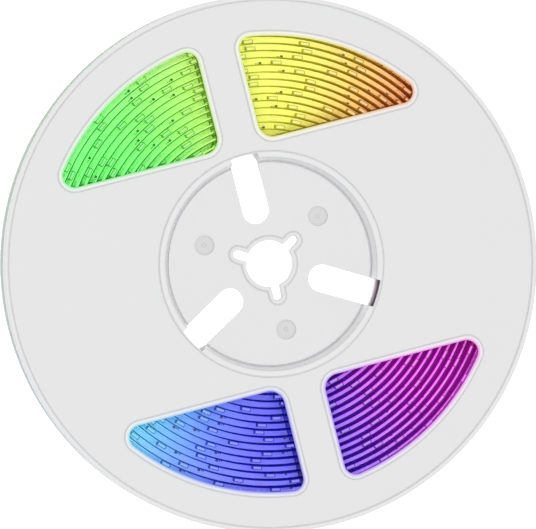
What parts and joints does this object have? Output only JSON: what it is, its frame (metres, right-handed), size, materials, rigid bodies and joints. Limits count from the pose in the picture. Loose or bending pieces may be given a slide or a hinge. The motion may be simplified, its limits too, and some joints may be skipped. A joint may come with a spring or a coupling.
{
  "type": "led strip light reel",
  "caption": "Flanged plastic reel with window cut-outs and a slotted hub, holding a spiral-wound LED strip.",
  "frame": {"origin": "centre of the back flange's outer face, on the surface that the reel lies on", "axes": "+Z is the reel's axis, from the back flange to the front flange; +Y runs along the spokes between the windows"},
  "size_m": [0.157, 0.157, 0.0126],
  "materials": {
    "reel_plastic": "satin",
    "strip": "satin"
  },
  "bodies": {
    "root": {"front_half": "reel_plastic", "back_half": "reel_plastic", "led_strip": "strip"}
  },
  "joints": []
}
